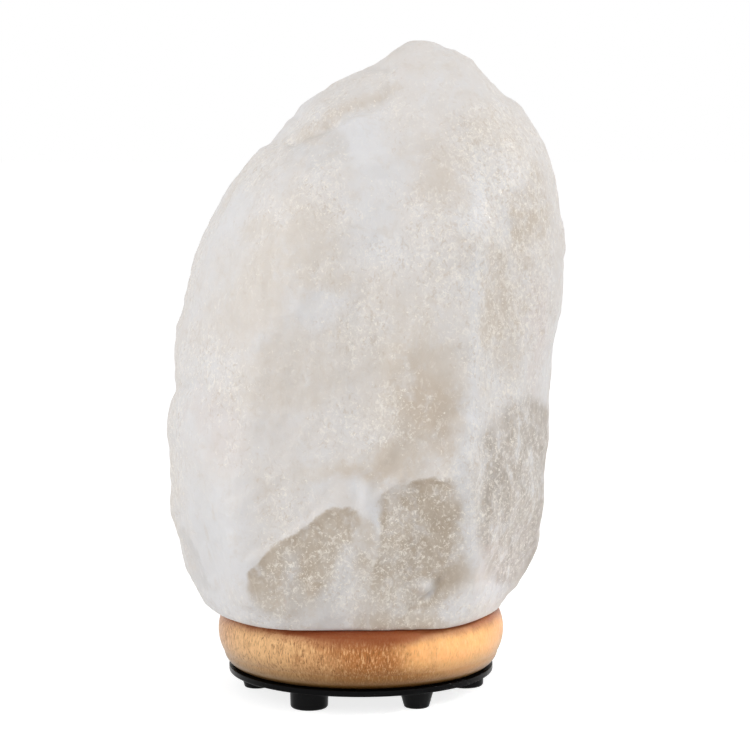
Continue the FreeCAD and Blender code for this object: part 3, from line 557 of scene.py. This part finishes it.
class FrontMarks:
    """Lays marks out on the plane y = FRONT_PLANE, across and up in mm, as they are seen from CAMERA_PLACE.

    They are fixed on the salt, and stay where they are in every view.
    """

    def __init__(self, graph, where):
        self.graph = graph
        centre = (CAMERA_PLACE[0], 0.0, CAMERA_PLACE[2])
        apart = graph.add("ShaderNodeSeparateXYZ", {0: where})
        distance = graph.math("SUBTRACT", apart.outputs["Y"], CAMERA_PLACE[1])
        reach = graph.math("DIVIDE", 1000 * (FRONT_PLANE - CAMERA_PLACE[1]), distance)
        shrunk = graph.add("ShaderNodeVectorMath", operation="SCALE")
        graph.feed(shrunk.inputs[0], graph.vector("SUBTRACT", where, centre))
        graph.feed(shrunk.inputs["Scale"], reach)
        onto = graph.vector("MULTIPLY", shrunk, (1.0, 0.0, 1.0))
        onto = graph.vector("ADD", onto, (1000 * centre[0], 0.0, 1000 * centre[2]))
        self.soft = graph.vector("ADD", onto, self.stray(where, *SOFT_STRAY))
        self.crisp = graph.vector("ADD", onto, self.stray(where, *CRISP_STRAY))
        self.front = graph.step(apart.outputs["Y"], *FRONT_FADE)
        ragged = graph.noise(where, RAGGED_SCALE, 4.0)
        ragged = graph.math("MULTIPLY_ADD", ragged, SIDE_RAGGED, apart.outputs["Y"])
        self.front_and_side = graph.step(ragged, *SIDE_FADE)
        self.back = graph.step(apart.outputs["Y"], *BACK_FADE)

    def stray(self, where, scale, reach):
        made = self.graph.add("ShaderNodeTexNoise",
                              {"Vector": where, "Scale": scale, "Detail": 5.0, "Roughness": 0.6})
        shift = self.graph.vector("SUBTRACT", made.outputs["Color"], (0.5, 0.5, 0.5))
        return self.graph.vector("MULTIPLY", shift, (reach, 0.0, reach))

    def on_front(self, area, strength):
        """The area at that strength, and 0 on the sides and the back."""
        return self.graph.math("MULTIPLY", area, self.graph.math("MULTIPLY", self.front, strength))

    def cloud(self, across, high, half_width, half_height):
        """1 in the middle of an oval, and 0 outside it."""
        near = self.graph.vector("SUBTRACT", self.soft, (across, 0.0, high))
        near = self.graph.vector("MULTIPLY", near, (1 / half_width, 0.0, 1 / half_height))
        near = self.graph.vector("LENGTH", near).outputs["Value"]
        return self.graph.step(near, *CLOUD_EDGE)

    def patch(self, corners):
        """1 inside a convex outline and 0 outside; each side from a corner has that corner's softness."""
        middle = np.mean([corner[:2] for corner in corners], axis=0)
        area = None
        for (*first, edge), (*second, _) in zip(corners, corners[1:] + corners[:1]):
            outward = np.array([second[1] - first[1], first[0] - second[0]])
            outward = outward / np.linalg.norm(outward)
            if outward @ (middle - first) > 0:
                outward = -outward
            offset = float(outward @ first)
            reach = self.graph.vector("DOT_PRODUCT", self.crisp, (outward[0], 0.0, outward[1]))
            side = self.graph.step(reach.outputs["Value"], offset + edge, offset - edge)
            area = side if area is None else self.graph.math("MINIMUM", area, side)
        return area

    def stroke(self, points, half_width):
        """1 along the line through the points, and 0 away from it."""
        nearest = None
        for start, end in zip(points, points[1:]):
            run = np.subtract(end, start)
            length = float(np.linalg.norm(run))
            run = run / length
            near = self.graph.vector("SUBTRACT", self.crisp, (start[0], 0.0, start[1]))
            along = self.graph.vector("DOT_PRODUCT", near, (run[0], 0.0, run[1])).outputs["Value"]
            along = self.graph.math("MINIMUM", self.graph.math("MAXIMUM", along, 0.0), length)
            foot = self.graph.add("ShaderNodeVectorMath", operation="SCALE")
            foot.inputs[0].default_value = (run[0], 0.0, run[1])
            self.graph.feed(foot.inputs["Scale"], along)
            aside = self.graph.vector("DISTANCE", near, foot.outputs[0]).outputs["Value"]
            nearest = aside if nearest is None else self.graph.math("MINIMUM", nearest, aside)
        return self.graph.step(nearest, *(share * half_width for share in STROKE_EDGE))


def salt_marks(graph, where, marks):
    """The salt's cloudy colour as it is seen from the front, with painted highlights and painted shade along
    some ridges, grooves and its foot.
    """
    clouds = graph.noise(graph.stretched(where, (1.0, 1.0, 0.55)), CLOUD_SCALE, 4.0, 0.6, 0.4)
    tone = graph.mix(graph.step(clouds, 0.48, 0.68, 0.0, 0.6), SALT_BASE, SALT_WARM)
    tone = graph.mix(graph.step(clouds, 0.50, 0.34, 0.0, 0.6), tone, SALT_PALE)
    for across, high, half_width, half_height, shade, strength in SALT_CLOUDS:
        area = marks.cloud(across, high, half_width, half_height)
        tone = graph.mix(marks.on_front(area, strength), tone, shade)
    patchy = graph.noise(graph.stretched(where, (1.0, 1.0, 0.6)), MOTTLE_SCALE, 4.0, 0.7, 0.6)
    lilac = graph.mix(graph.step(patchy, 0.42, 0.66), SALT_LILAC, SALT_DARK_LILAC)
    lilac = graph.mix(graph.step(patchy, 0.46, 0.34, 0.0, 0.7), lilac, SALT_PALE)
    lilac_area = graph.math("MULTIPLY", marks.patch(LILAC_RIGHT), marks.front_and_side)
    tone = graph.mix(graph.math("MULTIPLY", lilac_area, LILAC_SHARE), tone, lilac)
    tone = graph.mix(marks.on_front(marks.patch(SHADY_LEFT), SHADY_SHARE), tone, SALT_GREY)
    glassy = graph.math("MAXIMUM", marks.patch(GLASSY_LEFT), marks.patch(GLASSY_RIGHT))
    glassy = marks.on_front(glassy, GLASSY_SHARE)
    behind = graph.step(graph.noise(where, BACK_SCALE, 4.0, 0.6, 0.6), 0.49, 0.65, 0.0, BACK_SHARE)
    glassy = graph.math("MAXIMUM", glassy, graph.math("MULTIPLY", behind, marks.back))
    depth = graph.mix(graph.step(patchy, 0.35, 0.62), SALT_GLASSY, SALT_DARK_GLASSY)
    depth = graph.mix(graph.step(clouds, 0.48, 0.38, 0.0, 0.7), depth, SALT_BEIGE)
    tone = graph.mix(glassy, tone, depth)
    for across, high, half_width, half_height, shade, strength in SALT_VEILS:
        area = marks.cloud(across, high, half_width, half_height)
        tone = graph.mix(marks.on_front(area, strength), tone, shade)
    # Strokes: painted highlights on ridges, painted shade in grooves and along the foot, and the salt's own
    # colour.
    for points, half_width, shade, strength in SALT_STROKES:
        area = marks.stroke(points, half_width)
        tone = graph.mix(marks.on_front(area, strength), tone, shade)
    return tone


def salt_crowd(graph, where, marks):
    """How close together the bright flecks are, from 0 to 1; they are partly painted glints."""
    crowd = graph.step(graph.noise(where, CROWD_SCALE, 3.0, 0.6), 0.35, 0.65, 0.20, 0.80)
    for across, high, half_width, half_height, share in SALT_FROST_AND_GLINTS:
        area = marks.cloud(across, high, half_width, half_height)
        crowd = graph.math("ADD", crowd, marks.on_front(area, share))
    return graph.math("MINIMUM", crowd, 1.0)


def salt_flecks(graph, where, crowd):
    """Short curled bright flecks, partly painted glints, and how light or dark the frosted grain between them
    is.
    """
    curls = graph.noise(where, CURL_SCALE, 2.0, 0.5, 1.6)
    line = graph.math("ABSOLUTE", graph.math("SUBTRACT", curls, 0.5))
    line = graph.step(line, 0.060, 0.012)
    chosen = graph.noise(where, CHOICE_SCALE, 2.0, 0.6)
    threshold = graph.step(crowd, 0.0, 1.0, 0.68, 0.47)
    chosen = graph.math("SUBTRACT", chosen, threshold)
    flecks_and_glints = graph.math("MULTIPLY", line, graph.step(chosen, 0.0, 0.12))
    grain = graph.noise(graph.stretched(where, (1.0, 1.0, 0.7)), GRAIN_SCALE, 2.0, 0.6, 1.0)
    depth = graph.step(crowd, 0.0, 1.0, 0.35, 1.25)
    return flecks_and_glints, graph.math("MULTIPLY", graph.math("SUBTRACT", grain, 0.5), depth)


def salt_material():
    """Cloudy salt with milk and mist in it, frosted grain, bright flecks that are partly painted glints, and
    some light below its skin.
    """
    made, graph = material("rock_salt")
    where = object_place(graph)
    marks = FrontMarks(graph, where)
    tone = salt_marks(graph, where, marks)
    milk = graph.noise(graph.stretched(where, (1.0, 1.0, 0.8)), MILK_SCALE, 6.0, 0.68, 0.6)
    tone = graph.mix(graph.step(milk, 0.50, 0.66, 0.0, MILK_SHARE), tone, SALT_PALE)
    mist = graph.noise(where, MIST_SCALE, 5.0, 0.68, 0.3)
    tone = graph.mix(graph.step(mist, 0.50, 0.70, 0.0, MIST_PALE_SHARE), tone, SALT_PALE)
    tone = graph.mix(graph.step(mist, 0.48, 0.28, 0.0, MIST_TAN_SHARE), tone, SALT_TAN)
    flecks_and_glints, grain = salt_flecks(graph, where, salt_crowd(graph, where, marks))
    tone = graph.mix(graph.step(grain, 0.02, 0.20, 0.0, GRAIN_PALE_SHARE), tone, SALT_SPECK_AND_GLINT)
    tone = graph.mix(graph.step(grain, -0.03, -0.22, 0.0, GRAIN_DARK_SHARE), tone, SALT_DEEP_TAN)
    # Bright flecks, partly the salt's own crystals and partly painted glints.
    tone = graph.mix(graph.math("MULTIPLY", flecks_and_glints, FLECK_AND_GLINT_SHARE), tone, SALT_SPECK_AND_GLINT)
    normal = graph.bump(graph.noise(where, PIT_SCALE, 4.0, 0.6), 0.35, 0.0006)
    normal = graph.bump(grain, 0.35, 0.0004, normal)
    skin = graph.add("ShaderNodeBsdfPrincipled", {
        "Base Color": tone, "Roughness": graph.step(flecks_and_glints, 0.0, 1.0, 0.50, 0.28), "Normal": normal,
        "IOR": 1.54, "Subsurface Weight": 0.3, "Subsurface Radius": (1.0, 0.9, 0.8),
        "Subsurface Scale": 0.003})
    graph.surface(skin)
    return made


def make_salt():
    piece = remeshed("salt_crystal", "salt_block", SALT_VOXEL)
    wash(piece.data)
    piece.data.materials.clear()
    piece.data.materials.append(salt_material())
    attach(piece, "base")
    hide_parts("salt_crystal")
    print("salt faces", len(piece.data.polygons))


# ---- Materials of the other nodes ---------------------------------------------------------------

# Tan of the wood's bands on the back and of its left side, where it is partly a painted highlight.
WOOD_TAN_AND_SHEEN = srgb(230, 182, 130)
WOOD_BROWN = srgb(178, 108, 56)
# Painted highlight: the right shoulder of the wood made lighter in colour.
WOOD_PAINTED_HIGHLIGHT = srgb(255, 192, 124)
WOOD_DARK = srgb(134, 76, 34)
WOOD_PORE = srgb(96, 52, 24)
WOOD_FIBRE = srgb(250, 204, 148)
# Painted shade: dark red-brown on the wood just under the salt.
WOOD_SHADE_UNDER_SALT = srgb(128, 48, 18)
# Painted shade: the wood darker towards its foot.
WOOD_FOOT_SHADE = srgb(84, 58, 22)
WOOD_SHINE = srgb(255, 214, 160)
# Noise scales in lumps per metre
FIBRE_SCALE = 1700.0
STREAK_SCALE = 170.0
BAND_SCALE = 40.0
# Where the zones of the wood start and are full: across it, along Y, and in height from its foot or top
WOOD_MIDDLE = 0.003
WOOD_BAND_SHIFT = 0.04
WOOD_BEHIND = (-0.030, -0.010)
WOOD_TAN_AND_SHEEN_SIDE = (-0.002, -0.040)
WOOD_PAINTED_HIGHLIGHT_SIDE = (0.008, 0.030)
WOOD_PAINTED_HIGHLIGHT_FRONT = (0.015, -0.020)
WOOD_PAINTED_HIGHLIGHT_LEAN = -0.018
WOOD_PAINTED_HIGHLIGHT_DROP = 0.010
WOOD_LEFT_EDGE = (-0.044, -0.054)
WOOD_FOOT_SHADE_BAND = (0.0145, 0.001)
WOOD_SHADE_UNDER_SALT_BAND = (-0.0068, -0.0015)
WOOD_SHADE_UNDER_SALT_SIDES = (0.014, 0.034)
WOOD_SHADE_UNDER_SALT_DROP = -0.0020


def wood_material():
    """Turned wood with dark pores, tan on the left; painted highlights left and right, painted shade under
    the salt and towards the foot.
    """
    made, graph = material("turned_wood")
    where = object_place(graph)
    apart = graph.add("ShaderNodeSeparateXYZ", {0: where})
    across, deep, high = apart.outputs["X"], apart.outputs["Y"], apart.outputs["Z"]
    fibres = graph.noise(graph.stretched(where, (1.0, 1.0, 0.25)), FIBRE_SCALE, 3.0, 0.65, 0.5)
    streaks = graph.noise(graph.stretched(where, (1.0, 1.0, 0.30)), STREAK_SCALE, 4.0, 0.65, 0.6)
    bands = graph.noise(graph.stretched(where, (0.4, 1.0, 1.0)), BAND_SCALE, 3.0, 0.5, 1.2)
    side = graph.math("MULTIPLY_ADD", graph.math("SUBTRACT", bands, 0.5), WOOD_BAND_SHIFT, across)
    mottled = graph.math("MULTIPLY", graph.step(deep, *WOOD_BEHIND), graph.step(bands, 0.45, 0.62, 0.1, 0.8))
    # Tan on the left, partly the wood's own tone and partly a painted highlight; tan bands of the wood on the
    # back.
    tan = graph.math("MAXIMUM", graph.step(side, *WOOD_TAN_AND_SHEEN_SIDE), mottled)
    tone = graph.mix(tan, WOOD_BROWN, WOOD_TAN_AND_SHEEN)
    # Painted highlight on the right front of the wood; towards the foot it starts further right, and the
    # pores fade in it.
    low_down = graph.step(high, WOOD_HIGH.z - WOOD_PAINTED_HIGHLIGHT_DROP, WOOD_LOW.z)
    lower_side = graph.math("MULTIPLY_ADD", low_down, WOOD_PAINTED_HIGHLIGHT_LEAN, side)
    glow = graph.math("MULTIPLY", graph.step(lower_side, *WOOD_PAINTED_HIGHLIGHT_SIDE), graph.step(deep, *WOOD_PAINTED_HIGHLIGHT_FRONT))
    tone = graph.mix(glow, tone, WOOD_PAINTED_HIGHLIGHT)
    high_up = graph.step(high, WOOD_LOW.z, WOOD_HIGH.z)
    left_edge = graph.math("MULTIPLY", graph.step(across, *WOOD_LEFT_EDGE), high_up)
    tone = graph.mix(graph.math("MULTIPLY", left_edge, 0.75), tone, WOOD_BROWN)
    pores = graph.step(glow, 0.0, 1.0, 1.0, 0.35)
    dark = graph.math("MULTIPLY", graph.step(streaks, 0.45, 0.70, 0.0, 0.5), pores)
    tone = graph.mix(dark, tone, WOOD_DARK)
    dark = graph.math("MULTIPLY", graph.step(fibres, 0.52, 0.68, 0.0, 0.75), pores)
    tone = graph.mix(dark, tone, WOOD_PORE)
    tone = graph.mix(graph.step(fibres, 0.49, 0.36, 0.0, 0.6), tone, WOOD_FIBRE)
    # Painted shade: the wood darkens towards its foot, below a line that wavers with the streaks.
    edge = graph.math("MULTIPLY_ADD", streaks, 0.002, high)
    band = [WOOD_LOW.z + height for height in WOOD_FOOT_SHADE_BAND]
    tone = graph.mix(graph.step(edge, *band, 0.0, 0.92), tone, WOOD_FOOT_SHADE)
    # Painted shade under the salt, in a band below the wood's top that is narrower towards the sides.
    off_middle = graph.math("ABSOLUTE", graph.math("SUBTRACT", side, WOOD_MIDDLE))
    edge = graph.math("ADD", edge, graph.step(off_middle, *WOOD_SHADE_UNDER_SALT_SIDES, 0.0, WOOD_SHADE_UNDER_SALT_DROP))
    band = [WOOD_HIGH.z + height for height in WOOD_SHADE_UNDER_SALT_BAND]
    tone = graph.mix(graph.step(edge, *band, 0.0, 0.9), tone, WOOD_SHADE_UNDER_SALT)
    skin = graph.add("ShaderNodeBsdfPrincipled", {
        "Base Color": tone, "Roughness": graph.step(fibres, 0.3, 0.8, 0.30, 0.46),
        "Specular IOR Level": 0.9, "Specular Tint": WOOD_SHINE,
        "Normal": graph.bump(fibres, 0.45, 0.0002)})
    graph.surface(skin)
    return made


def plastic_material(name, shade, roughness, shine=0.5, grain_size=0.0008, relief=0.12):
    """A moulded surface with faint smears and a fine grain."""
    made, graph = material(name)
    where = object_place(graph)
    smears = graph.noise(where, 60.0, 3.0, 0.5)
    tone = graph.mix(graph.step(smears, 0.3, 0.7, 0.0, 0.25), shade, darker(shade, 0.7))
    rough = graph.step(smears, 0.3, 0.7, roughness * 0.85, roughness * 1.2)
    grain = graph.noise(where, 1 / grain_size, 3.0, 0.6)
    skin = graph.add("ShaderNodeBsdfPrincipled", {
        "Base Color": tone, "Roughness": rough, "Specular IOR Level": shine,
        "Normal": graph.bump(grain, relief, 0.0001)})
    graph.surface(skin)
    return made


def metal_material(name, shade, roughness):
    """Drawn or turned metal with fine lines and a faint stain."""
    made, graph = material(name)
    where = object_place(graph)
    lines = graph.noise(graph.stretched(where, (1.0, 1.0, 8.0)), 700.0, 3.0, 0.6)
    stain = graph.noise(where, 220.0, 3.0, 0.6)
    tone = graph.mix(graph.step(stain, 0.4, 0.75, 0.0, 0.4), shade, darker(shade, 0.6))
    rough = graph.step(lines, 0.3, 0.7, roughness * 0.8, roughness * 1.3)
    skin = graph.add("ShaderNodeBsdfPrincipled", {
        "Base Color": tone, "Metallic": 1.0, "Roughness": rough,
        "Normal": graph.bump(lines, 0.08, 0.0001)})
    graph.surface(skin)
    return made


def glass_material():
    """Clear glass with a little dust."""
    made, graph = material("clear_glass")
    dust = graph.noise(object_place(graph), 300.0, 3.0, 0.6)
    skin = graph.add("ShaderNodeBsdfPrincipled", {
        "Base Color": (0.97, 0.985, 0.98, 1.0), "Roughness": graph.step(dust, 0.4, 0.8, 0.02, 0.08),
        "IOR": 1.5, "Transmission Weight": 1.0})
    graph.surface(skin)
    return made


def dress_nodes():
    """Gives every node that scene.py doesn't replace its finish."""
    finishes = {
        wood_material(): ["wood_base"],
        plastic_material("black_plate", srgb(10, 10, 11), 0.25, 0.05): ["base_plate"],
        plastic_material("black_feet", srgb(11, 11, 12), 0.36, 0.08, 0.0006, 0.2): [
            "straight_feet", "tapered_feet"],
        plastic_material("holder_plastic", srgb(222, 219, 210), 0.35): ["holder_shell", "holder_cap"],
        plastic_material("plug_plastic", srgb(172, 171, 169), 0.55): ["salt_plugs"],
        plastic_material("insulator_glass", srgb(32, 29, 33), 0.1): ["bulb_insulator"],
        metal_material("zinc_steel", srgb(202, 202, 199), 0.32): [
            "foot_washers", "plate_screws", "salt_screws", "holder_nut", "terminal_screws", "clip_bracket"],
        metal_material("spring_wire", srgb(196, 197, 202), 0.2): ["clip_wire_left", "clip_wire_right"],
        metal_material("brass", srgb(232, 204, 144), 0.25): [
            "thread_sleeve", "centre_contact", "contact_rivets", "terminals", "bulb_cap"],
        metal_material("solder", srgb(205, 205, 208), 0.4): ["bulb_contact"],
        metal_material("lead_wire", srgb(180, 176, 173), 0.3): ["bulb_leads", "bulb_filament"],
        glass_material(): ["bulb_glass", "bulb_stem"],
    }
    for finish, names in finishes.items():
        for name in names:
            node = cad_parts[name]
            node.data.materials.clear()
            node.data.materials.append(finish)


# ---- Scene --------------------------------------------------------------------------------------

make_camera()
make_world()
make_floor()
for light in LIGHTS:
    make_light(*light)
bpy.context.scene.view_settings.view_transform = "Standard"
make_salt()
dress_nodes()
